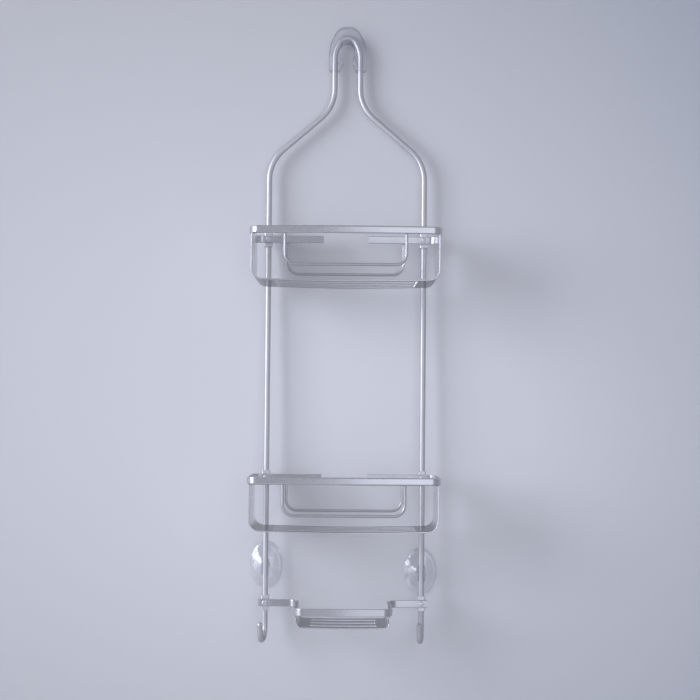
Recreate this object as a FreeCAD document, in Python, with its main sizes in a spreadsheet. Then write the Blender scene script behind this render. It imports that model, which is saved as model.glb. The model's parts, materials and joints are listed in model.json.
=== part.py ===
import FreeCAD, Part
import math
import os
import re
import Sketcher

# A hanging shower caddy. The origin is the centre of the seat in which the shower arm lies. +X is to the
# right, +Y is towards the wall and +Z is up. The legs of the frame stand in the plane y = 0, and the baskets
# hang in front of them. Every length is in millimetres and every angle in degrees.
SIZES = {
    # The frame: one round rod, from one hook's tip over the loop to the other's.
    "rod_diameter": 8.0,
    "neck_half_width": 18.1,
    "loop_crown_height": 17.0,
    "loop_flat_half_width": 8.0,
    "loop_flank_height": -3.0,
    "loop_crown_radius": 12.6,
    "loop_flank_radius": 42.0,
    "neck_corner_height": -80.9,
    "shoulder_corner_height": -159.6,
    "shoulder_radius": 55.0,
    "leg_half_width": 109.4,
    "hook_start_height": -811.0,
    "hook_reach": 34.0,
    "hook_radius": 16.5,
    "hook_front_radius": 13.0,
    "hook_tip_rise": 9.0,
    "hook_tip_lean": 7.0,
    "hook_tip_radius": 3.7,
    "hook_turn": 6.0,
    # The clear sleeve over the loop.
    "sleeve_half_width": 26.4,
    "sleeve_crown_height": 32.0,
    "sleeve_flat_half_width": 12.5,
    "sleeve_flank_height": 6.0,
    "sleeve_crown_radius": 17.0,
    "sleeve_flank_radius": 50.0,
    "sleeve_bottom_height": -30.6,
    "sleeve_depth": 16.0,
    "sleeve_edge_radius": 4.5,
    "seat_radius": 9.5,
    "seat_side_height": -8.0,
    "throat_top_half_width": 9.49,
    "throat_side_half_width": 9.12,
    "throat_half_width": 6.3,
    "throat_height": -19.5,
    "flare_half_width": 11.6,
    "throat_radius": 8.0,
    # The strip that both baskets and the dish are rimmed with.
    "strip_height": 10.3,
    "strip_thickness": 3.2,
    "strip_outer_edge_radius": 2.0,
    "strip_inner_edge_radius": 1.1,
    "ear_back": 7.2,
    # The baskets. Depths are measured forwards from the legs, heights from the middle of the rim.
    "basket_half_width": 129.0,
    "basket_corner_depth": 108.5,
    "basket_middle_depth": 115.5,
    "basket_front_radius": 12.5,
    "basket_rear_radius": 11.0,
    "basket_bow_radius": 1150.0,
    "basket_ear_half_gap": 31.7,
    "basket_ear_lean": 3.8,
    "basket_ear_bend": 99.0,
    "basket_ear_bend_radius": 90.0,
    "tray_thickness": 1.5,
    "tray_edge_radius": 0.5,
    "tray_front": 109.5,
    "tray_back": 12.2,
    "tray_top": 4.0,
    "tray_floor": 66.0,
    "tray_sag": 3.0,
    "tray_corner_radius": 14.0,
    "tray_sag_radius": 2600.0,
    "tray_notch_back": 94.0,
    "tray_rear_notch_front": 20.5,
    "tray_notch_top": 5.6,
    "guard_diameter": 4.0,
    "guard_half_width": 81.0,
    "guard_drop": 46.0,
    "upper_rear_guard_drop": 48.5,
    "guard_top": 4.0,
    "guard_radius": 15.0,
    "guard_end_radius": 1.6,
    "guard_front_depth": 105.7,
    "guard_rear_depth": 5.15,
    "slot_half_width": 5.0,
    "slot_end_radius": 4.9,
    "basket_slot_half_length": 97.0,
    "basket_first_slot_depth": 29.4,
    "basket_slot_pitch": 20.8,
    "basket_rear_rivet_depth": 32.0,
    "basket_front_rivet_depth": 76.0,
    # The soap dish.
    "dish_half_width": 66.2,
    "dish_corner_depth": 98.0,
    "dish_middle_depth": 101.5,
    "dish_front_radius": 13.0,
    "dish_ear_radius": 11.0,
    "dish_bow_radius": 500.0,
    "dish_ear_end": 118.0,
    "dish_ear_bend": 99.0,
    "dish_ear_bend_radius": 60.0,
    "dish_ear_lean": 3.5,
    "dish_tray_front": 96.5,
    "dish_tray_floor": 20.4,
    "dish_tray_sag": 1.0,
    "dish_tray_corner_radius": 8.0,
    "dish_tray_sag_radius": 1800.0,
    "dish_notch_back": 84.0,
    "dish_slot_half_length": 46.0,
    "dish_first_slot_depth": 30.0,
    "dish_slot_pitch": 24.4,
    "dish_rear_rivet_depth": 36.0,
    "dish_front_rivet_depth": 72.0,
    # The clamps on the legs, with their screws and the rivets.
    "clamp_width": 11.0,
    "clamp_back": 6.4,
    "clamp_height": 20.0,
    "clamp_corner_radius": 2.0,
    "clamp_slit": 1.6,
    "running_clearance": 0.06,
    "screw_radius": 1.7,
    "screw_hole_radius": 1.76,
    "screw_tip": 4.3,
    "screw_head_radius": 3.5,
    "screw_head_height": 2.2,
    "screw_head_rounding": 1.5,
    "screw_slot_width": 0.9,
    "screw_slot_length": 4.0,
    "screw_slot_depth": 1.2,
    "rivet_radius": 1.6,
    "rivet_hole_radius": 1.65,
    "rivet_head_radius": 3.0,
    "rivet_dome_radius": 2.55,
    "rivet_crown_radius": 1.2,
    "rivet_head_height": 1.2,
    "rivet_tail_radius": 2.5,
    "rivet_tail_end_radius": 2.1,
    "rivet_tail_height": 1.0,
    # The suction cups and their clips.
    "cup_half_width": 24.2,
    "cup_half_height": 34.2,
    "cup_depth": 11.5,
    "cup_lip": 1.7,
    "cup_hollow_depth": 8.0,
    "cup_neck_radius": 6.2,
    "cup_stub_radius": 3.9,
    "cup_stub_front": 6.2,
    "cup_clip_gap": 0.3,
    "wall_distance": 26.0,
    "clip_radius": 5.4,
    "clip_height": 21.0,
    "clip_opening": 5.0,
    "socket_radius": 6.0,
    "socket_bore_radius": 3.96,
    "socket_bottom": 5.8,
    "socket_back": 12.0,
    # Where the pieces stand on the legs.
    "upper_rim_height": -271.3,
    "lower_rim_height": -605.1,
    "dish_rim_height": -779.6,
    "left_cup_height": -730.6,
    "right_cup_height": -738.0,
    # How far a cutting shape runs past the piece that it cuts.
    "overrun": 2.0,
}
GROUND = -1  # Sketcher's number for the sketch's own origin and axes
START = 1
END = 2
CENTRE = 3

doc = FreeCAD.newDocument("ShowerCaddy")
sheet = doc.addObject("Spreadsheet::Sheet", "Sizes")
for row, (alias, number) in enumerate(SIZES.items(), start=1):
    sheet.set(f"A{row}", alias.replace("_", " "))
    sheet.set(f"B{row}", str(number))
    sheet.setAlias(f"B{row}", alias)
doc.recompute()


def formula(text):
    """The text with the sheet's name put before each of its sizes."""
    return re.sub(r"[a-z]\w*", r"Sizes.\g<0>", text)


def value_of(text):
    """The number that a formula of sizes gives now."""
    return float(sheet.evalExpression(text))


def bind(thing, **sizes):
    """Binds properties of an object to formulas of the sheet's sizes."""
    for name, text in sizes.items():
        thing.setExpression(name.replace("__", "."), formula(text))


def new_body(label, x="0", y="0", height="0"):
    """An empty body with its Label, standing at x, y and the given height."""
    body = doc.addObject("PartDesign::Body", label)
    body.Label = label
    bind(body, Placement__Base__x=x, Placement__Base__y=y, Placement__Base__z=height)
    return body


def plane_of(body, role):
    """One of a body's own origin planes."""
    return next(item for item in body.Origin.OriginFeatures if item.Role == role)


def new_sketch(body, name, role, offset="0", turn="0"):
    """A sketch on an origin plane of its body, moved along the plane's normal and turned about its own Y."""
    sketch = body.newObject("Sketcher::SketchObject", name)
    sketch.AttachmentSupport = (plane_of(body, role), [""])
    sketch.MapMode = "FlatFace"
    sketch.AttachmentOffset = FreeCAD.Placement(
        FreeCAD.Vector(0, 0, value_of(offset)), FreeCAD.Rotation(FreeCAD.Vector(0, 1, 0), value_of(turn))
    )
    bind(sketch, AttachmentOffset__Base__z=offset)
    if turn != "0":
        bind(sketch, AttachmentOffset__Rotation__Angle=turn)
    return sketch


def fix_point(sketch, geometry, end, x, y):
    """Ties a point of a sketch to two formulas, measured from the sketch's origin."""
    for kind, text in (("DistanceX", x), ("DistanceY", y)):
        number = sketch.addConstraint(Sketcher.Constraint(kind, GROUND, 1, geometry, end, value_of(text)))
        sketch.setExpression(f"Constraints[{number}]", formula(text))


def fix_radius(sketch, geometry, text):
    number = sketch.addConstraint(Sketcher.Constraint("Radius", geometry, value_of(text)))
    sketch.setExpression(f"Constraints[{number}]", formula(text))


def draw_circle(sketch, x, y, radius):
    centre = FreeCAD.Vector(value_of(x), value_of(y), 0)
    circle = sketch.addGeometry(Part.Circle(centre, FreeCAD.Vector(0, 0, 1), value_of(radius)))
    fix_point(sketch, circle, CENTRE, x, y)
    fix_radius(sketch, circle, radius)


def arc_between(centre, start, end):
    """The arc that runs anticlockwise about a centre from one point to another."""
    circle = Part.Circle(centre, FreeCAD.Vector(0, 0, 1), centre.distanceToPoint(start))
    angles = [math.atan2(point.y - centre.y, point.x - centre.x) for point in (start, end)]
    if angles[1] < angles[0]:
        angles[1] += 2 * math.pi
    return Part.ArcOfCircle(circle, *angles)


def draw_path(sketch, corners, closed=False):
    """Draws straight lines between corners, rounded by tangent arcs.

    Each corner is (x, y, radius), three formulas, and a corner with no radius stays sharp. The virtual
    corners are construction points tied to the sheet, and each line passes through the two it runs between.
    """
    points = [FreeCAD.Vector(value_of(x), value_of(y), 0) for x, y, _ in corners]
    count = len(corners)
    marks = []
    for (x, y, _), point in zip(corners, points):
        mark = sketch.addGeometry(Part.Point(point), True)
        fix_point(sketch, mark, START, x, y)
        marks.append(mark)
    cuts = []
    for number, (_, _, radius) in enumerate(corners):
        inner = closed or 0 < number < count - 1
        if not (inner and radius):
            cuts.append((points[number], points[number], None))
            continue
        before = (points[number - 1] - points[number]).normalize()
        after = (points[(number + 1) % count] - points[number]).normalize()
        half_angle = before.getAngle(after) / 2
        reach = value_of(radius) / math.tan(half_angle)
        centre = points[number] + (before + after).normalize() * (value_of(radius) / math.sin(half_angle))
        cuts.append((points[number] + before * reach, points[number] + after * reach, centre))
    lines = []
    for number in range(count if closed else count - 1):
        following = (number + 1) % count
        line = sketch.addGeometry(Part.LineSegment(cuts[number][1], cuts[following][0]))
        for corner, end in ((number, START), (following, END)):
            if cuts[corner][2] is None:
                sketch.addConstraint(Sketcher.Constraint("Coincident", line, end, marks[corner], START))
            else:
                sketch.addConstraint(Sketcher.Constraint("PointOnObject", marks[corner], START, line))
        lines.append(line)
    for number, (first, last, centre) in enumerate(cuts):
        if centre is None:
            continue
        turns_left = (first - centre).cross(last - centre).z > 0
        ends = (START, END) if turns_left else (END, START)
        low, high = (first, last) if turns_left else (last, first)
        arc = sketch.addGeometry(arc_between(centre, low, high))
        sketch.addConstraint(Sketcher.Constraint("Tangent", lines[number - 1], END, arc, ends[0]))
        sketch.addConstraint(Sketcher.Constraint("Tangent", arc, ends[1], lines[number], START))
        fix_radius(sketch, arc, corners[number][2])


def draw_box(sketch, low_x, high_x, low_y, high_y, radius=None):
    """A closed rectangle, with rounded corners if a radius is given."""
    corners = [
        (low_x, low_y, radius),
        (high_x, low_y, radius),
        (high_x, high_y, radius),
        (low_x, high_y, radius),
    ]
    draw_path(sketch, corners, closed=True)


def mirrored(corners):
    """The corners of a symmetrical path: those given, then the same ones the other way at -x."""
    return corners + [(f"-({x})", y, radius) for x, y, radius in reversed(corners) if x != "0"]


def sweep(body, profile, path):
    pipe = body.newObject("PartDesign::AdditivePipe", "Sweep")
    pipe.Profile = profile
    pipe.Spine = path
    return pipe


def pad(body, sketch, length):
    """A pad that reaches half its length to each side of its sketch."""
    feature = body.newObject("PartDesign::Pad", "Pad")
    feature.Profile = sketch
    feature.SideType = "Symmetric"
    bind(feature, Length=length)
    return feature


def pocket_through(body, sketch):
    """A pocket that cuts through everything on both sides of its sketch, and must remove something."""
    doc.recompute()
    before = body.Shape.Volume
    feature = body.newObject("PartDesign::Pocket", "Pocket")
    feature.Profile = sketch
    feature.SideType = "Symmetric"
    feature.Type = "ThroughAll"
    doc.recompute()
    assert body.Shape.Volume < before, f"{body.Label}: {sketch.Name} cuts nothing"
    return feature


def primitive(body, kind, axis="Z", x="0", y="0", z="0", **sizes):
    """A PartDesign primitive, such as AdditiveCylinder, with its own Z along one of the row's axes."""
    turns = {
        "Z": FreeCAD.Rotation(),
        "Y": FreeCAD.Rotation(FreeCAD.Vector(1, 0, 0), -90),
        "-Y": FreeCAD.Rotation(FreeCAD.Vector(1, 0, 0), 90),
        "X": FreeCAD.Rotation(FreeCAD.Vector(0, 1, 0), 90),
    }
    feature = body.newObject(f"PartDesign::{kind}", kind)
    feature.Placement = FreeCAD.Placement(FreeCAD.Vector(), turns[axis])
    bind(feature, Placement__Base__x=x, Placement__Base__y=y, Placement__Base__z=z, **sizes)
    return feature


def edge_names(feature, wanted):
    """The names of a feature's edges that pass a test."""
    doc.recompute()
    return [f"Edge{n}" for n, edge in enumerate(feature.Shape.Edges, start=1) if wanted(edge)]


def fillet(body, base, wanted, radius):
    names = edge_names(base, wanted)
    assert names, f"{body.Label}: no edge to round"
    feature = body.newObject("PartDesign::Fillet", "Fillet")
    feature.Base = (base, names)
    bind(feature, Radius=radius)
    return feature


def is_upright(edge):
    """True for a straight edge that runs along Z."""
    if edge.Curve.TypeId != "Part::GeomLine":
        return False
    first, last = (vertex.Point for vertex in edge.Vertexes)
    return abs((last - first).normalize().z) > 0.99


# The frame and its sleeve


def make_frame_rod():
    """The bent rod: legs, shoulders, necks and loop in one sweep, then a hook below each leg."""
    body = new_body("frame_rod")
    path = new_sketch(body, "RodPath", "XZ_Plane")
    half = [
        ("-leg_half_width", "hook_start_height", None),
        ("-leg_half_width", "shoulder_corner_height", "shoulder_radius"),
        ("-neck_half_width", "neck_corner_height", "shoulder_radius"),
        ("-neck_half_width", "loop_flank_height", "loop_flank_radius"),
        ("-loop_flat_half_width", "loop_crown_height", "loop_crown_radius"),
    ]
    draw_path(path, mirrored(half))
    section = new_sketch(body, "RodSection", "XY_Plane", "hook_start_height")
    draw_circle(section, "-leg_half_width", "0", "rod_diameter / 2")
    sweep(body, section, path)
    for side, name in (("-", "Left"), ("", "Right")):
        hook_path = new_sketch(body, f"{name}HookPath", "YZ_Plane", f"{side}leg_half_width", "-hook_turn")
        corners = [
            ("0", "hook_start_height", None),
            ("0", "hook_start_height - hook_reach / 2", "hook_radius"),
            ("-hook_reach", "hook_start_height - hook_reach / 2", "hook_front_radius"),
            ("-hook_reach - hook_tip_lean", "hook_start_height + hook_tip_rise", None),
        ]
        draw_path(hook_path, corners)
        hook_section = new_sketch(body, f"{name}HookSection", "XY_Plane", "hook_start_height")
        draw_circle(hook_section, f"{side}leg_half_width", "0", "rod_diameter / 2")
        hook = sweep(body, hook_section, hook_path)
    tip_depth = value_of("hook_reach + hook_tip_lean") * math.cos(math.radians(value_of("hook_turn")))

    def at_tip(edge):
        """True for the edge round a hook's end, which is square to the leaning tip."""
        round_edge = edge.Curve.TypeId == "Part::GeomCircle" and edge.isClosed()
        return round_edge and abs(edge.Curve.Center.y + tip_depth) < 0.01

    fillet(body, hook, at_tip, "hook_tip_radius")
    return body


def make_grip_sleeve():
    """The vinyl sleeve: an arch moulded over the loop, with a round seat and a narrow throat below it."""
    body = new_body("grip_sleeve")
    outline = new_sketch(body, "Outline", "XZ_Plane")
    half = [
        ("-sleeve_half_width", "sleeve_bottom_height", None),
        ("-sleeve_half_width", "sleeve_flank_height", "sleeve_flank_radius"),
        ("-sleeve_flat_half_width", "sleeve_crown_height", "sleeve_crown_radius"),
    ]
    draw_path(outline, mirrored(half), closed=True)
    block = pad(body, outline, "sleeve_depth")
    edges_y = value_of("sleeve_depth") / 2

    def on_faces(edge):
        points = [vertex.Point for vertex in edge.Vertexes]
        flat = all(abs(abs(point.y) - edges_y) < 0.01 for point in points)
        same_side = points[0].y * points[-1].y > 0
        low = all(abs(point.z - value_of("sleeve_bottom_height")) < 0.01 for point in points)
        return flat and same_side and not low

    fillet(body, block, on_faces, "sleeve_edge_radius")
    seat = new_sketch(body, "Seat", "XZ_Plane")
    draw_circle(seat, "0", "0", "seat_radius")
    pocket_through(body, seat)
    throat = new_sketch(body, "Throat", "XZ_Plane")
    half = [
        ("-throat_top_half_width", "0", None),
        ("-throat_side_half_width", "seat_side_height", "throat_radius"),
        ("-throat_half_width", "throat_height", "throat_radius"),
        ("-flare_half_width", "sleeve_bottom_height - overrun", None),
    ]
    draw_path(throat, mirrored(half), closed=True)
    pocket_through(body, throat)
    channel = new_sketch(body, "Channel", "XZ_Plane")
    half = [
        ("-neck_half_width", "sleeve_bottom_height - overrun", None),
        ("-neck_half_width", "loop_flank_height", "loop_flank_radius"),
        ("-loop_flat_half_width", "loop_crown_height", "loop_crown_radius"),
    ]
    draw_path(channel, mirrored(half))
    section = new_sketch(body, "ChannelSection", "XY_Plane", "sleeve_bottom_height - overrun")
    draw_circle(section, "-neck_half_width", "0", "rod_diameter / 2")
    doc.recompute()
    before = body.Shape.Volume
    pipe = body.newObject("PartDesign::SubtractivePipe", "Channel")
    pipe.Profile = section
    pipe.Spine = channel
    doc.recompute()
    assert body.Shape.Volume < before - 1000, "the rod's channel cuts nothing"
    return body


# Strips, sheets and wires. Each is made in place at the rim's own height, and its body is then lowered.


def cut_side_holes(body, depths, radius):
    """Round holes along X through both sides, at the given depths and half way up the rim."""
    sketch = new_sketch(body, "SideHoles", "YZ_Plane")
    for depth in depths:
        draw_circle(sketch, f"-({depth})", "0", radius)
    pocket_through(body, sketch)


def cut_ear_holes(body):
    """The two clamp screws' holes, along Y through the ears."""
    sketch = new_sketch(body, "EarHoles", "XZ_Plane", "ear_back")
    for side in ("-", ""):
        draw_circle(sketch, f"{side}leg_half_width", "0", "screw_hole_radius")
    doc.recompute()
    before = body.Shape.Volume
    feature = body.newObject("PartDesign::Pocket", "EarPocket")
    feature.Profile = sketch
    feature.SideType = "Symmetric"
    bind(feature, Length="strip_thickness * 4")
    doc.recompute()
    assert body.Shape.Volume < before, f"{body.Label}: no ear holes"


def make_rim(label, height, half_corners, ear_end, lean, rivet_depths):
    """A flat strip on edge, bent along a symmetrical path in plan, with rivet and screw holes.

    Its outer edges are well rounded. The path's ends, the ears, stand forwards by the lean.
    """
    body = new_body(label, height=height)
    path = new_sketch(body, "RimPath", "XY_Plane")
    draw_path(path, mirrored(half_corners))
    section = new_sketch(body, "StripSection", "YZ_Plane", ear_end)
    inner, outer = f"-ear_back - strip_thickness - {lean}", f"-ear_back - {lean}"
    corners = [
        (inner, "-strip_height / 2", "strip_inner_edge_radius"),
        (outer, "-strip_height / 2", "strip_outer_edge_radius"),
        (outer, "strip_height / 2", "strip_outer_edge_radius"),
        (inner, "strip_height / 2", "strip_inner_edge_radius"),
    ]
    draw_path(section, corners, closed=True)
    sweep(body, section, path)
    cut_side_holes(body, rivet_depths, "rivet_hole_radius")
    cut_ear_holes(body)
    return body


def make_tray(label, height, sheet_half_width, floor, sag, corner_radius, sag_radius, front, notches,
              slot_rows, slot_half_length, rivet_depths):
    """A sheet bent to a wide U: two sides inside the rim and a slotted floor with a slight sag.

    Each notch, a name and two depths, lowers the sides there, so that they pass under the rim's corners.
    """
    body = new_body(label, height=height)
    middle = f"{sheet_half_width} - tray_thickness / 2"
    path = new_sketch(body, "SheetPath", "XZ_Plane")
    half = [
        (middle, "tray_top", None),
        (middle, f"-{floor}", corner_radius),
        ("0", f"-{floor} - {sag}", sag_radius),
    ]
    draw_path(path, mirrored(half))
    section = new_sketch(body, "SheetSection", "XY_Plane", "tray_top")
    draw_box(
        section,
        f"{sheet_half_width} - tray_thickness",
        sheet_half_width,
        f"-{front}",
        "-tray_back",
        "tray_edge_radius",
    )
    sweep(body, section, path)
    slots = new_sketch(body, "Slots", "XY_Plane")
    for row in slot_rows:
        draw_box(
            slots,
            f"-{slot_half_length}",
            slot_half_length,
            f"-({row}) - slot_half_width",
            f"-({row}) + slot_half_width",
            "slot_end_radius",
        )
    pocket_through(body, slots)
    for name, notch_front, notch_back in notches:
        notch = new_sketch(body, name, "YZ_Plane")
        draw_box(notch, f"-({notch_front})", f"-({notch_back})", "-tray_notch_top", "tray_top + overrun")
        pocket_through(body, notch)
    cut_side_holes(body, rivet_depths, "rivet_hole_radius")
    return body


def make_guard(label, height, depth, drop):
    """A round wire bent to a U, which hangs from the rim at the given depth before the legs."""
    body = new_body(label, height=height)
    path = new_sketch(body, "WirePath", "XZ_Plane", depth)
    half = [
        ("guard_half_width", "guard_top", None),
        ("guard_half_width", f"-{drop}", "guard_radius"),
    ]
    draw_path(path, mirrored(half))
    section = new_sketch(body, "WireSection", "XY_Plane", "guard_top")
    draw_circle(section, "guard_half_width", f"-({depth})", "guard_diameter / 2")
    wire = sweep(body, section, path)
    top = value_of("guard_top")

    def at_ends(edge):
        return all(abs(vertex.Point.z - top) < 0.01 for vertex in edge.Vertexes)

    fillet(body, wire, at_ends, "guard_end_radius")
    return body


# Fasteners and clamps


def make_clamp(label, height, side):
    """A split block that grips a leg behind the ear: a bore for the leg, a slit and a screw hole."""
    body = new_body(label, x=f"{side}leg_half_width", height=height)
    block = primitive(
        body,
        "AdditiveBox",
        x="-clamp_width / 2",
        y="-ear_back",
        z="-clamp_height / 2",
        Length="clamp_width",
        Width="ear_back + clamp_back",
        Height="clamp_height",
    )
    fillet(body, block, is_upright, "clamp_corner_radius")
    primitive(
        body,
        "SubtractiveCylinder",
        z="-clamp_height",
        Radius="rod_diameter / 2 + running_clearance",
        Height="clamp_height * 2",
    )
    primitive(
        body,
        "SubtractiveBox",
        x="-clamp_slit / 2",
        z="-clamp_height",
        Length="clamp_slit",
        Width="clamp_back * 2",
        Height="clamp_height * 2",
    )
    primitive(
        body,
        "SubtractiveCylinder",
        "-Y",
        Radius="screw_hole_radius",
        Height="ear_back * 2",
    )
    return body


def make_screws(label, height):
    """Two pan-head screws with cross recesses, one in each ear, whose tips stop just short of the legs."""
    body = new_body(label, height=height)
    for side in ("-", ""):
        x = f"{side}leg_half_width"
        primitive(
            body,
            "AdditiveCylinder",
            "-Y",
            x=x,
            y="-screw_tip",
            Radius="screw_radius",
            Height="ear_back + strip_thickness - screw_tip",
        )
        head = primitive(
            body,
            "AdditiveCylinder",
            "-Y",
            x=x,
            y="-ear_back - strip_thickness",
            Radius="screw_head_radius",
            Height="screw_head_height",
        )
        face = -value_of("ear_back + strip_thickness + screw_head_height")
        middle = value_of(x)

        def on_head_face(edge):
            box = edge.BoundBox
            return box.YMax < face + 0.01 and abs((box.XMin + box.XMax) / 2 - middle) < 1

        fillet(body, head, on_head_face, "screw_head_rounding")
        cross = [("screw_slot_length", "screw_slot_width"), ("screw_slot_width", "screw_slot_length")]
        for length, width in cross:
            primitive(
                body,
                "SubtractiveBox",
                x=f"{x} - {length} / 2",
                y="-ear_back - strip_thickness - screw_head_height",
                z=f"-{width} / 2",
                Length=length,
                Width="screw_slot_depth",
                Height=width,
            )
    return body


def make_rivets(label, height, half_width, depths):
    """Dome-headed rivets through the rim's sides and the tray's sides, with their tails inside."""
    body = new_body(label, height=height)
    for depth in depths:
        for outwards, side in ((1, ""), (-1, "-")):
            sketch = new_sketch(body, "RivetSection", "XY_Plane")
            inner = f"{side}({half_width} - strip_thickness - tray_thickness"
            outer = f"{side}({half_width}"
            steps = [
                (f"{inner} - rivet_tail_height)", "0"),
                (f"{inner} - rivet_tail_height)", "rivet_tail_end_radius"),
                (f"{inner} - rivet_tail_height / 2)", "rivet_tail_radius"),
                (f"{inner})", "rivet_tail_radius"),
                (f"{inner})", "rivet_radius"),
                (f"{outer})", "rivet_radius"),
                (f"{outer})", "rivet_head_radius"),
                (f"{outer} + rivet_head_height / 2)", "rivet_dome_radius"),
                (f"{outer} + rivet_head_height)", "rivet_crown_radius"),
                (f"{outer} + rivet_head_height)", "0"),
            ]
            corners = [(x, f"-({depth}) + {radius}", None) for x, radius in steps]
            draw_path(sketch, corners[::outwards], closed=True)
            rivet = body.newObject("PartDesign::Revolution", "Rivet")
            rivet.Profile = sketch
            axis = sketch.addGeometry(
                Part.LineSegment(
                    FreeCAD.Vector(value_of(steps[0][0]), -value_of(depth), 0),
                    FreeCAD.Vector(value_of(steps[-1][0]), -value_of(depth), 0),
                ),
                True,
            )
            fix_point(sketch, axis, START, steps[0][0], f"-({depth})")
            fix_point(sketch, axis, END, steps[-1][0], f"-({depth})")
            rivet.ReferenceAxis = (sketch, ["Axis0"])
            rivet.Angle = 360
    return body


# The suction cups


def make_cup(label, height, side):
    """An oval vinyl cup with a flat rim against the wall: a hollow dome, a neck and a stub in its clip."""
    body = new_body(label, x=f"{side}leg_half_width", height=height)
    dome = primitive(
        body,
        "AdditiveEllipsoid",
        "-Y",
        y="wall_distance",
        Radius1="cup_depth",
        Radius2="cup_half_width",
        Radius3="cup_half_height",
    )
    dome.Angle1 = -10
    dome.Angle2 = 90
    primitive(
        body,
        "AdditiveCylinder",
        "-Y",
        y="wall_distance - cup_hollow_depth",
        Radius="cup_neck_radius",
        Height="wall_distance - cup_hollow_depth - socket_back - cup_clip_gap",
    )
    primitive(
        body,
        "AdditiveCylinder",
        "-Y",
        y="wall_distance - cup_hollow_depth",
        Radius="cup_stub_radius",
        Height="wall_distance - cup_hollow_depth - cup_stub_front",
    )
    hollow = primitive(
        body,
        "SubtractiveEllipsoid",
        "-Y",
        y="wall_distance",
        Radius1="cup_hollow_depth",
        Radius2="cup_half_width - cup_lip",
        Radius3="cup_half_height - cup_lip",
    )
    hollow.Angle1 = -90
    hollow.Angle2 = 90
    primitive(
        body,
        "SubtractiveBox",
        x="-cup_half_width - overrun",
        y="wall_distance",
        z="-cup_half_height - overrun",
        Length="(cup_half_width + overrun) * 2",
        Width="cup_depth",
        Height="(cup_half_height + overrun) * 2",
    )
    return body


def make_cup_clip(label, height, side):
    """A clear sleeve that snaps on a leg from behind the cup, with a socket for the cup's stub."""
    body = new_body(label, x=f"{side}leg_half_width", height=height)
    primitive(body, "AdditiveCylinder", z="-clip_height / 2", Radius="clip_radius", Height="clip_height")
    primitive(body, "AdditiveCylinder", "Y", Radius="socket_radius", Height="socket_back")
    primitive(
        body,
        "SubtractiveCylinder",
        z="-clip_height",
        Radius="rod_diameter / 2 + running_clearance",
        Height="clip_height * 2",
    )
    primitive(
        body,
        "SubtractiveCylinder",
        "Y",
        y="socket_bottom",
        Radius="socket_bore_radius",
        Height="socket_back",
    )
    primitive(
        body,
        "SubtractiveBox",
        x="-clip_opening / 2",
        y="-clip_radius * 2",
        z="-clip_height",
        Length="clip_opening",
        Width="clip_radius * 2",
        Height="clip_height * 2",
    )
    return body


def make_basket(name, height, rear_guard_drop):
    """One basket: rim, tray, two guards, two clamps, screws and rivets."""
    ear_depth = "(ear_back + strip_thickness / 2)"
    side = "basket_half_width - strip_thickness / 2"
    plan = [
        ("basket_ear_half_gap", f"-{ear_depth} - basket_ear_lean", None),
        ("basket_ear_bend", f"-{ear_depth}", "basket_ear_bend_radius"),
        (side, f"-{ear_depth}", "basket_rear_radius"),
        (side, "-basket_corner_depth + strip_thickness / 2", "basket_front_radius"),
        ("0", "-basket_middle_depth + strip_thickness / 2", "basket_bow_radius"),
    ]
    rivet_depths = ["basket_rear_rivet_depth", "basket_front_rivet_depth"]
    rows = [f"basket_first_slot_depth + {row} * basket_slot_pitch" for row in range(4)]
    sheet_half_width = "(basket_half_width - strip_thickness)"
    notches = [
        ("FrontNotch", "tray_front + overrun", "tray_notch_back"),
        ("RearNotch", "tray_rear_notch_front", "tray_back - overrun"),
    ]
    return [
        make_rim(f"{name}_rim", height, plan, "basket_ear_half_gap", "basket_ear_lean", rivet_depths),
        make_tray(f"{name}_tray", height, sheet_half_width, "tray_floor", "tray_sag", "tray_corner_radius",
                  "tray_sag_radius", "tray_front", notches, rows, "basket_slot_half_length", rivet_depths),
        make_guard(f"{name}_front_guard", height, "guard_front_depth", "guard_drop"),
        make_guard(f"{name}_rear_guard", height, "guard_rear_depth", rear_guard_drop),
        make_clamp(f"{name}_left_clamp", height, "-"),
        make_clamp(f"{name}_right_clamp", height, ""),
        make_screws(f"{name}_screws", height),
        make_rivets(f"{name}_rivets", height, "basket_half_width", rivet_depths),
    ]


def make_dish(height):
    """The soap dish: an omega-shaped rim whose ears run out to the legs, with a shallow slotted tray."""
    ear_depth = "(ear_back + strip_thickness / 2)"
    side = "dish_half_width - strip_thickness / 2"
    plan = [
        ("dish_ear_end", f"-{ear_depth}", None),
        ("dish_ear_bend", f"-{ear_depth}", "dish_ear_bend_radius"),
        (side, f"-{ear_depth} - dish_ear_lean", "dish_ear_radius"),
        (side, "-dish_corner_depth + strip_thickness / 2", "dish_front_radius"),
        ("0", "-dish_middle_depth + strip_thickness / 2", "dish_bow_radius"),
    ]
    rivet_depths = ["dish_rear_rivet_depth", "dish_front_rivet_depth"]
    rows = [f"dish_first_slot_depth + {row} * dish_slot_pitch" for row in range(3)]
    sheet_half_width = "(dish_half_width - strip_thickness)"
    notches = [("FrontNotch", "dish_tray_front + overrun", "dish_notch_back")]
    return [
        make_rim("dish_rim", height, plan, "dish_ear_end", "0", rivet_depths),
        make_tray("dish_tray", height, sheet_half_width, "dish_tray_floor", "dish_tray_sag",
                  "dish_tray_corner_radius", "dish_tray_sag_radius", "dish_tray_front", notches, rows,
                  "dish_slot_half_length", rivet_depths),
        make_clamp("dish_left_clamp", height, "-"),
        make_clamp("dish_right_clamp", height, ""),
        make_screws("dish_screws", height),
        make_rivets("dish_rivets", height, "dish_half_width", rivet_depths),
    ]


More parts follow.
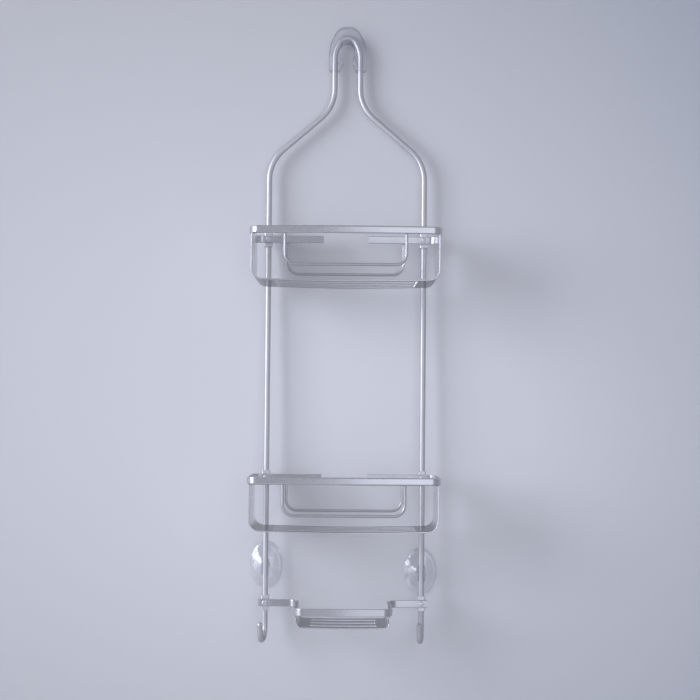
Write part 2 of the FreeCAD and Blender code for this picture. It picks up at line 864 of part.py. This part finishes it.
def export(bodies):
    """Checks every object of the document and each body's shape, then writes one STEP file per body."""
    doc.recompute()
    for item in doc.Objects:
        assert not {"Invalid", "Error"} & set(item.State), f"{item.Name} failed: {item.State}"
    os.makedirs("parts", exist_ok=True)
    for body in bodies:
        shape = body.Shape
        assert not shape.isNull() and shape.isValid(), f"{body.Label} has no valid shape"
        shape.exportStep(f"parts/{body.Label}.step")
        box = shape.BoundBox
        print(f"{body.Label:20s} solids {len(shape.Solids)}  volume {shape.Volume:9.1f}  "
              f"x {box.XMin:7.1f} {box.XMax:7.1f}  y {box.YMin:7.1f} {box.YMax:6.1f}  "
              f"z {box.ZMin:7.1f} {box.ZMax:7.1f}")


nodes = [make_frame_rod(), make_grip_sleeve()]
nodes += make_basket("upper", "upper_rim_height", "upper_rear_guard_drop")
nodes += make_basket("lower", "lower_rim_height", "guard_drop")
nodes += make_dish("dish_rim_height")
for side_name, side_sign in (("left", "-"), ("right", "")):
    cup_height = f"{side_name}_cup_height"
    nodes.append(make_cup(f"{side_name}_cup", cup_height, side_sign))
    nodes.append(make_cup_clip(f"{side_name}_cup_clip", cup_height, side_sign))
export(nodes)
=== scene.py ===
import json
import math

import bmesh
import bpy
from mathutils import Euler, Matrix, Vector
from mathutils.geometry import tessellate_polygon


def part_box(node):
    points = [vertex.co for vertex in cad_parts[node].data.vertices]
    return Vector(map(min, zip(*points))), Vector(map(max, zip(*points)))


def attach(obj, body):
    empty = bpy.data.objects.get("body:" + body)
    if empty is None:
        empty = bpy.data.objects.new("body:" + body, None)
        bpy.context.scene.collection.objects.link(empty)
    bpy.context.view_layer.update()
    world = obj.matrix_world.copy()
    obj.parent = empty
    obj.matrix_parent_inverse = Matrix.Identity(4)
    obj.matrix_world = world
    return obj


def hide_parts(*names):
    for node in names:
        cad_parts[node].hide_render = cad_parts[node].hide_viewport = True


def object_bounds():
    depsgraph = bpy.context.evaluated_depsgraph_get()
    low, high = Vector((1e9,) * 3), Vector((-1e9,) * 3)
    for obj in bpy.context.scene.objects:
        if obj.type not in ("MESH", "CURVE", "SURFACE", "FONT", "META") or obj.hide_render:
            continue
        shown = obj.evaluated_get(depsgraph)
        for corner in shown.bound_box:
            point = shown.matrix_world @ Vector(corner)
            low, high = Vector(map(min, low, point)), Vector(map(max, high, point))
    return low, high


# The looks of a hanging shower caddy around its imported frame. Lengths are in metres and angles in degrees,
# in the frame's own axes: +X to the right, +Y towards the wall and +Z up, from the shower arm's seat.
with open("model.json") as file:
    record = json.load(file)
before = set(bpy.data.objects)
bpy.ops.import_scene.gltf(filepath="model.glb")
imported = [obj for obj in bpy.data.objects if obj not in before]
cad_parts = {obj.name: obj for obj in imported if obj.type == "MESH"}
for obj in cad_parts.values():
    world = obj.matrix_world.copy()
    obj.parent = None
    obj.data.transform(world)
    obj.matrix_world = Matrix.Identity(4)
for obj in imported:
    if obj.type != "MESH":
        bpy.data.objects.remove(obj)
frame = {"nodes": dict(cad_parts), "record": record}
cad_box = [list(corner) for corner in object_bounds()]
NODES = frame["nodes"]

# The stage. The wall carries a painted pool of light: lightest around one point, x and z, it fades over a
# range of distances from it, and its right side carries painted shade, darker and bluer.
# At the pivot's height it stands a gap behind the CAD box.
STAGE_WIDTH = 8.0
WALL_HEIGHT = 6.0
WALL_PAINTED_LIGHT = (0.91, 0.91, 0.91, 1)
WALL_LEFT = (0.57, 0.57, 0.57, 1)
WALL_RIGHT_PAINTED_SHADE = (0.51, 0.54, 0.595, 1)
WALL_PAINTED_LIGHT_CENTRE = (0.13, -0.54)
WALL_PAINTED_LIGHT_FADE = (0.14, 0.84)
WALL_LEAN = 1.3
WALL_GAP = 0.0012
WALL_PIVOT = -0.735
FLOOR_COLOUR = (0.72, 0.72, 0.73, 1)
FLOOR_DROP = 0.35
FLAG_COLOUR = (0.05, 0.05, 0.055, 1)

# The lights: their colour, the room's radiance, and what they all aim at from the same distance
DAYLIGHT = (0.935, 0.965, 1.12)
ROOM_RADIANCE = 0.355
LIGHT_AIM = Vector((0, 0, -0.42))
LIGHT_DISTANCE = 2.4

# The camera: its place, how far it looks up and leans, its focal length in mm and its upward shift
CAMERA_PLACE = (0.0071, -1.8066, -0.5214)
CAMERA_RISE = 1.63
CAMERA_ROLL = 0.5
CAMERA_LENS = 66.02
CAMERA_SHIFT = 0.045

# The grip sleeve: its outer size, and the half widths of the keyhole that the shower arm goes through
SLEEVE_DEPTH = 0.016
SLEEVE_SIDE = 0.0264
SLEEVE_FOOT = -0.0306
SEAT = 0.0095
THROAT = 0.0063
FLARE = 0.0116

# The suction cups: a leg's distance from the middle, and a cup's half width and half height
LEG = 0.1094
CUP_SIDE = 0.0234
CUP_TOP = 0.0338

# The finishes. A grain scales the noise along each axis, and a small number draws it out into lines.
ALONG_ROD = (1, 1, 0.05)
ALONG_STRIP = (0.05, 0.05, 1)
ALONG_WIRE = (1, 1, 0.2)
ALONG_SHEET = (0.05, 1, 1)
NO_GRAIN = (1, 1, 1)
LINE_BUMP = 0.000005
SPECK_BUMP = 0.000004
WAVE_BUMP = 0.0003

# Clear vinyl: its Fresnel factor face on and where it turns away, and how clear it still is there
VINYL_IOR = 1.5
VINYL_FACE_ON = 0.04
VINYL_EDGE_ON = 0.7
VINYL_EDGE_CLEARNESS = 0.6


# Materials. Each function makes one procedural material.


class Nodes:
    """A material's node tree with short calls to add nodes and links."""

    def __init__(self, name):
        self.material = bpy.data.materials.new(name)
        self.material.use_nodes = True
        self.tree = self.material.node_tree
        self.shader = self.tree.nodes["Principled BSDF"]

    def add(self, kind, inputs=None, **settings):
        """A node with its settings, and its inputs set to numbers or linked to other nodes' outputs."""
        node = self.tree.nodes.new(kind)
        for key, value in settings.items():
            setattr(node, key, value)
        for key, value in (inputs or {}).items():
            self.give(node.inputs[key], value)
        return node

    def give(self, socket, value):
        """Sets a socket to a number or links it to an output."""
        if isinstance(value, bpy.types.NodeSocket):
            self.tree.links.new(value, socket)
        else:
            socket.default_value = value

    def shade(self, **values):
        """Sets or links the shader's own sockets, named with _ for a space."""
        for key, value in values.items():
            self.give(self.shader.inputs[key.replace("_", " ")], value)

    def place(self, scale):
        """The object's own coordinates, stretched by a scale along each axis."""
        coordinates = self.add("ShaderNodeTexCoord")
        mapping = self.add("ShaderNodeMapping", {"Vector": coordinates.outputs["Object"], "Scale": scale})
        return mapping.outputs["Vector"]

    def noise(self, scale, detail, stretch=NO_GRAIN):
        """A noise whose features are about 1 / scale metres across."""
        node = self.add(
            "ShaderNodeTexNoise", {"Vector": self.place(stretch), "Scale": scale, "Detail": detail}
        )
        return node.outputs["Fac"]

    def spread(self, value, low, high, new_low=0.0, new_high=1.0):
        """Maps a range of values to another."""
        node = self.add(
            "ShaderNodeMapRange",
            {"Value": value, "From Min": low, "From Max": high, "To Min": new_low, "To Max": new_high},
        )
        return node.outputs["Result"]

    def clouds(self):
        """Faint patches about 17 mm across, from 0 to 1."""
        return self.spread(self.noise(60, 3), 0.3, 0.7)

    def tint(self, factor, dark, light):
        """A colour between two, by a factor from 0 to 1."""
        node = self.add("ShaderNodeMix", data_type="RGBA")
        for socket, value in ((node.inputs[0], factor), (node.inputs[6], dark), (node.inputs[7], light)):
            self.give(socket, value)
        return node.outputs[2]

    def bump(self, height, distance, normal=None):
        """A bump of a height from 0 to 1 times a distance."""
        inputs = {"Height": height, "Distance": distance}
        if normal is not None:
            inputs["Normal"] = normal
        return self.add("ShaderNodeBump", inputs).outputs["Normal"]

    def clear_where(self, factor, colour=(1, 1, 1, 1)):
        """Lets light straight through, in a colour, where a factor from 0 to 1 says."""
        through = self.add("ShaderNodeBsdfTransparent", {"Color": colour})
        mix = self.add(
            "ShaderNodeMixShader", {0: factor, 1: self.shader.outputs[0], 2: through.outputs[0]}
        )
        self.tree.links.new(mix.outputs[0], self.tree.nodes["Material Output"].inputs["Surface"])


def grey(level):
    """The grey of clear-anodised aluminium, a touch bluer than neutral."""
    return (level, level + 0.002, level + 0.008, 1)


def anodised(name, grain, roughness, metallic):
    """The surface of clear-anodised aluminium: fine lines along the grain, and fine specks."""
    m = Nodes(name)
    lines = m.noise(2600, 3, grain)
    specks = m.noise(2200, 1)
    m.shade(
        Metallic=metallic,
        Roughness=m.spread(lines, 0.3, 0.7, *roughness),
        Normal=m.bump(specks, SPECK_BUMP, m.bump(lines, LINE_BUMP)),
    )
    return m


def satin_aluminium(name, grain, dark, light, roughness, edge, metallic):
    """Anodised aluminium between two greys, with its shine along edges cut to a part of the usual."""
    m = anodised(name, grain, roughness, metallic)
    m.shade(Base_Color=m.tint(m.clouds(), grey(dark), grey(light)), Specular_Tint=(edge, edge, edge, 1))
    return m


def slotted_sheet(name):
    """Rolled aluminium sheet. Faces that look up or down, the tray's floor, carry painted shade: a darker
    grey and weaker shine along edges than the lighter folded sides.
    """
    m = anodised(name, ALONG_SHEET, roughness=(0.22, 0.25), metallic=0.88)
    facing = m.add("ShaderNodeSeparateXYZ", {0: m.add("ShaderNodeNewGeometry").outputs["True Normal"]})
    level = m.add("ShaderNodeMath", {0: facing.outputs["Z"]}, operation="ABSOLUTE")
    # Painted shade mask: 1 where a face looks up or down, 0 on the folded sides
    level_painted_shade_mask = m.spread(level.outputs[0], 0.3, 0.8)
    clouds = m.clouds()
    sides = m.tint(clouds, grey(0.78), grey(0.82))
    # Painted shade: the floor's darker grey, against the sides' lighter one
    floor = m.tint(clouds, grey(0.55), grey(0.59))
    m.shade(
        Base_Color=m.tint(level_painted_shade_mask, sides, floor),
        Specular_Tint=m.tint(level_painted_shade_mask, (1, 1, 1, 1), (0.56, 0.56, 0.56, 1)),
    )
    return m


def clear_vinyl(name, through, edge_through, shine, roughness):
    """Clear soft vinyl: it dims what is behind it a little, and shines more the more it turns away.

    Light that casts a shadow always goes through, so the shadow has only the vinyl's tint.
    """
    m = Nodes(name)
    waves = m.bump(m.noise(180, 2), WAVE_BUMP)
    m.shade(Base_Color=(0.92, 0.925, 0.93, 1), Metallic=1.0, Roughness=roughness, Normal=waves)
    fresnel = m.add("ShaderNodeFresnel", {"IOR": VINYL_IOR, "Normal": waves})
    clear = m.spread(fresnel.outputs[0], VINYL_FACE_ON, VINYL_EDGE_ON, 1 - shine, VINYL_EDGE_CLEARNESS)
    shadow = m.add("ShaderNodeLightPath").outputs["Is Shadow Ray"]
    either = m.add("ShaderNodeMath", {0: clear, 1: shadow}, operation="MAXIMUM")
    facing = m.add("ShaderNodeLayerWeight", {"Blend": 0.5}).outputs["Facing"]
    m.clear_where(either.outputs[0], m.tint(m.spread(facing, 0.3, 0.9), through, edge_through))
    return m


def matt(name, colour):
    """A matt surface for the wall, the floor and the flag."""
    m = Nodes(name)
    m.shade(Base_Color=colour, Roughness=0.9, Specular_IOR_Level=0.2)
    return m


def wall_paint_and_painted_light(y):
    """Matt paint for a wall at y, with a painted pool of light around one point, and painted shade that
    makes its right side a touch darker and bluer.

    It is one-sided: seen from behind, the wall isn't there.
    """
    m = matt("wall_paint_and_painted_light", WALL_PAINTED_LIGHT)
    geometry = m.add("ShaderNodeNewGeometry")
    x, z = WALL_PAINTED_LIGHT_CENTRE
    # Painted light: the paint is lightest near one point and fades outwards, a pool of light painted on the
    # wall.
    away = m.add(
        "ShaderNodeVectorMath", {0: geometry.outputs["Position"], 1: (x, y, z)}, operation="DISTANCE"
    )
    painted_light_falloff = m.spread(away.outputs["Value"], *WALL_PAINTED_LIGHT_FADE)
    # Painted shade: away from that point the right side turns darker and bluer.
    across = m.add("ShaderNodeSeparateXYZ", {0: geometry.outputs["Position"]})
    edge = m.tint(m.spread(across.outputs["X"], 0.0, 0.5), WALL_LEFT, WALL_RIGHT_PAINTED_SHADE)
    m.shade(Base_Color=m.tint(painted_light_falloff, WALL_PAINTED_LIGHT, edge))
    m.clear_where(geometry.outputs["Backfacing"])
    return m


# Mesh helpers


def add_piece(name, vertices, faces, material):
    """A smooth-shaded object with one material."""
    mesh = bpy.data.meshes.new(name)
    mesh.from_pydata(vertices, [], faces)
    mesh.validate()
    mesh.polygons.foreach_set("use_smooth", [True] * len(mesh.polygons))
    mesh.materials.append(material)
    piece = bpy.data.objects.new(name, mesh)
    bpy.context.scene.collection.objects.link(piece)
    return piece


def join_rings(rings, count):
    """The faces that join each ring of points to the next."""
    faces = []
    for ring in range(rings - 1):
        first, second = ring * count, (ring + 1) * count
        for step in range(count):
            following = (step + 1) % count
            faces.append((first + step, first + following, second + following, second + step))
    return faces


def oval_lathe(name, rings, half_width, half_height, material, segments=96):
    """A closed oval turned shape about the Y axis.

    Each ring is its radius, its y and how far it follows the oval: 0 for round and 1 for the full oval.
    """
    vertices = []
    for radius, y, follow in rings:
        tall = 1 + (half_height / half_width - 1) * follow
        for step in range(segments):
            angle = 2 * math.pi * step / segments
            vertices.append((radius * math.cos(angle), y, radius * tall * math.sin(angle)))
    faces = join_rings(len(rings), segments)
    faces.append(tuple(range(segments - 1, -1, -1)))
    faces.append(tuple(range((len(rings) - 1) * segments, len(rings) * segments)))
    return add_piece(name, vertices, faces, material)


def rounded_outline(corners):
    """A closed outline in the XZ plane. Each corner is its x, its z, its radius and its edge radius."""
    points = []
    for index, (x, z, radius, edge) in enumerate(corners):
        here = Vector((x, z))
        back = (Vector(corners[index - 1][:2]) - here).normalized()
        on = (Vector(corners[(index + 1) % len(corners)][:2]) - here).normalized()
        half = back.angle(on) / 2
        centre = here + (back + on).normalized() * radius / math.sin(half)
        spoke = here + back * radius / math.tan(half) - centre
        sweep = math.copysign(math.pi - 2 * half, on.cross(back))
        steps = max(3, math.ceil(abs(sweep) / math.radians(5)))
        for step in range(steps + 1):
            point = centre + Matrix.Rotation(sweep * step / steps, 2) @ spoke
            points.append((point.x, point.y, edge))
    return points


def rounded_plate(name, outline, depth, material):
    """A plate of an XZ outline, centred on y = 0, whose edges are rounded by each point's edge radius."""
    count = len(outline)
    sections = [(-1, angle) for angle in range(90, -1, -15)] + [(1, angle) for angle in range(0, 91, 15)]
    vertices = []
    for side, angle in sections:
        turn = math.radians(angle)
        for index, (x, z, edge) in enumerate(outline):
            ahead, behind = outline[(index + 1) % count], outline[index - 1]
            along = Vector((ahead[0] - behind[0], ahead[1] - behind[1])).normalized()
            inset = edge * (1 - math.cos(turn))
            y = side * (depth / 2 - edge * (1 - math.sin(turn)))
            vertices.append((x - along.y * inset, y, z + along.x * inset))
    faces = join_rings(len(sections), count)
    for first in (0, (len(sections) - 1) * count):
        loop = [Vector(vertex) for vertex in vertices[first:first + count]]
        faces += [tuple(first + corner for corner in triangle) for triangle in tessellate_polygon([loop])]
    piece = add_piece(name, vertices, faces, material)
    shell = bmesh.new()
    shell.from_mesh(piece.data)
    bmesh.ops.recalc_face_normals(shell, faces=shell.faces)
    shell.to_mesh(piece.data)
    shell.free()
    return piece


# The pieces that replace CAD nodes


def make_sleeve(material):
    """The clear vinyl grip: an arch with a keyhole mouth and rounded edges, cast around the rod's loop."""
    half = [
        (SLEEVE_SIDE, SLEEVE_FOOT, 0.0030, 0.0025),
        (SLEEVE_SIDE, 0.0060, 0.0500, 0.0045),
        (0.0125, 0.0320, 0.0170, 0.0045),
    ]
    mouth = [
        (SEAT, SEAT, SEAT * 0.98, 0.0020),
        (SEAT, -0.0080, 0.0060, 0.0020),
        (THROAT, -0.0195, 0.0050, 0.0020),
        (FLARE, SLEEVE_FOOT, 0.0018, 0.0015),
    ]
    corners = half + [(-x, z, radius, edge) for x, z, radius, edge in reversed(half)]
    corners += [(-x, z, radius, edge) for x, z, radius, edge in reversed(mouth)] + mouth
    piece = rounded_plate("sleeve_arch", rounded_outline(corners), SLEEVE_DEPTH, material)
    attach(piece, "frame")
    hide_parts("grip_sleeve")


def make_cup(side, x, height, material):
    """A suction cup: a conical oval skirt with a ridge near its lip, a neck and a stub in the clip."""
    stub = [
        (0.0030, 0.0064, 0), (0.0038, 0.0068, 0), (0.0038, 0.0123, 0),
    ]
    neck = [
        (0.0056, 0.0124, 0), (0.0060, 0.0128, 0), (0.0060, 0.0152, 0), (0.0063, 0.0161, 0),
    ]
    cone = [
        (0.0074, 0.0168, 0.15), (0.0090, 0.0177, 0.4), (0.0130, 0.0198, 0.75), (0.0170, 0.0219, 0.95),
        (0.0196, 0.0232, 1),
    ]
    ridge_and_lip = [
        (0.0200, 0.0231, 1), (0.0204, 0.0231, 1), (0.0207, 0.0238, 1), (0.0228, 0.0250, 1),
        (0.0233, 0.0254, 1), (CUP_SIDE, 0.0258, 1), (0.0232, 0.0260, 1), (0.0226, 0.0259, 1),
    ]
    hollow = [
        (0.0220, 0.0255, 1), (0.0170, 0.0229, 0.95), (0.0090, 0.0190, 0.4), (0.0040, 0.0184, 0.1),
        (0.0010, 0.0183, 0),
    ]
    rings = stub + neck + cone + ridge_and_lip + hollow
    piece = oval_lathe(f"{side}_cup_skirt", rings, CUP_SIDE, CUP_TOP, material)
    piece.location = (x, 0, height)
    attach(piece, f"{side}_suction_cup")
    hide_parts(f"{side}_cup")


# The stage, the lights and the camera


def flat_panel(name, width, height, place, turn, material):
    """A rectangle in its own XY plane, turned and placed, that is part of the stage."""
    mesh = bpy.data.meshes.new(name)
    x, y = width / 2, height / 2
    mesh.from_pydata([(-x, -y, 0), (x, -y, 0), (x, y, 0), (-x, y, 0)], [], [(0, 1, 2, 3)])
    mesh.materials.append(material)
    panel = bpy.data.objects.new(name, mesh)
    turned = Euler([math.radians(angle) for angle in turn]).to_matrix().to_4x4()
    panel.matrix_world = Matrix.Translation(place) @ turned
    bpy.context.scene.collection.objects.link(panel)
    return panel


def make_stage():
    """A pale wall just behind the suction cups, which leans towards the frame's top, and a pale floor."""
    low, high = (Vector(corner) for corner in cad_box)
    paint = wall_paint_and_painted_light(high.y).material
    behind = (0, high.y + WALL_GAP, WALL_PIVOT)
    flat_panel("wall", STAGE_WIDTH, WALL_HEIGHT, behind, (90 + WALL_LEAN, 0, 0), paint)
    floor = matt("floor_paint", FLOOR_COLOUR).material
    flat_panel("floor", STAGE_WIDTH, STAGE_WIDTH, (0, 0, low.z - FLOOR_DROP), (0, 0, 0), floor)


def make_flag():
    """A low grey card to the left, unseen by the camera, which the soap dish's left ear reflects."""
    cloth = matt("flag_cloth", FLAG_COLOUR).material
    flag = flat_panel("flag", 0.50, 0.75, place=(-0.72, -2.0, -1.22), turn=(90, 0, -20), material=cloth)
    flag.visible_camera = False


def make_world():
    """An even pale room around the object."""
    world = bpy.data.worlds.new("studio")
    world.use_nodes = True
    background = world.node_tree.nodes["Background"]
    background.inputs["Color"].default_value = (*DAYLIGHT, 1)
    background.inputs["Strength"].default_value = ROOM_RADIANCE
    bpy.context.scene.world = world


def softbox(name, azimuth, elevation, width, height, radiance):
    """A rectangular softbox that faces the object's middle.

    Its azimuth is 0 straight in front and positive to the right. The camera doesn't see it.
    """
    a, e = math.radians(azimuth), math.radians(elevation)
    away = Vector((math.sin(a) * math.cos(e), -math.cos(a) * math.cos(e), math.sin(e)))
    data = bpy.data.lights.new(name, "AREA")
    data.shape = "RECTANGLE"
    data.size = width
    data.size_y = height
    data.energy = radiance * math.pi * width * height
    data.color = DAYLIGHT
    light = bpy.data.objects.new(name, data)
    light.location = LIGHT_AIM + away * LIGHT_DISTANCE
    light.rotation_euler = away.to_track_quat("Z", "Y").to_euler()
    light.visible_camera = False
    bpy.context.scene.collection.objects.link(light)


def make_lights():
    """A window to the left with its light scattered above and below, and a pale front wall to the right."""
    softbox("window", azimuth=-60, elevation=12, width=1.2, height=1.2, radiance=4.3)
    softbox("window_scatter", azimuth=-60, elevation=3, width=1.2, height=4.4, radiance=1.3)
    softbox("front_wall", azimuth=16, elevation=-2, width=1.3, height=1.9, radiance=0.85)


def make_camera():
    """The camera, close to level, with the small lean at which the object hangs."""
    data = bpy.data.cameras.new("camera")
    data.sensor_width = 36.0
    data.lens = CAMERA_LENS
    data.shift_y = CAMERA_SHIFT
    camera = bpy.data.objects.new("camera", data)
    pitch = Matrix.Rotation(math.radians(90 + CAMERA_RISE), 4, "X")
    roll = Matrix.Rotation(math.radians(CAMERA_ROLL), 4, "Z")
    camera.matrix_world = Matrix.Translation(CAMERA_PLACE) @ pitch @ roll
    bpy.context.scene.collection.objects.link(camera)
    bpy.context.scene.camera = camera


# The finish of every node, by the material slot that the record gives it
rod = satin_aluminium(
    "rod_aluminium", ALONG_ROD, dark=0.69, light=0.72, roughness=(0.42, 0.48), edge=0.2, metallic=0.85
)
strip = satin_aluminium(
    "strip_aluminium", ALONG_STRIP, dark=0.69, light=0.72, roughness=(0.27, 0.30), edge=0.65, metallic=0.88
)
wire = satin_aluminium(
    "wire_aluminium", ALONG_WIRE, dark=0.58, light=0.63, roughness=(0.28, 0.34), edge=0.5, metallic=0.85
)
clamp = satin_aluminium(
    "clamp_aluminium", NO_GRAIN, dark=0.80, light=0.88, roughness=(0.32, 0.42), edge=0.8, metallic=0.8
)
sheet = slotted_sheet("sheet_aluminium")
vinyl = clear_vinyl(
    "clear_vinyl", (0.965, 0.968, 0.975, 1), edge_through=(0.66, 0.67, 0.69, 1), shine=0.07, roughness=0.12
)
cup_vinyl = clear_vinyl(
    "cup_vinyl", (0.988, 0.99, 0.995, 1), edge_through=(0.80, 0.81, 0.82, 1), shine=0.14, roughness=0.10
)
FINISHES = {
    "rod": rod, "strip": strip, "wire": wire, "sheet": sheet, "clamp": clamp, "screw": clamp, "rivet": clamp,
    "vinyl": vinyl, "cup": cup_vinyl, "clip": vinyl,
}
for entry in frame["record"]["subparts"]:
    node = NODES[entry["node"]]
    node.data.materials.clear()
    node.data.materials.append(FINISHES[entry["material_slot"]].material)

for side, x in (("left", -LEG), ("right", LEG)):
    middle = sum(corner[2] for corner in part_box(f"{side}_cup")) / 2
    make_cup(side, x, middle, cup_vinyl.material)

make_sleeve(vinyl.material)
make_stage()
make_flag()
make_world()
make_lights()
make_camera()
bpy.context.scene.view_settings.view_transform = "Standard"
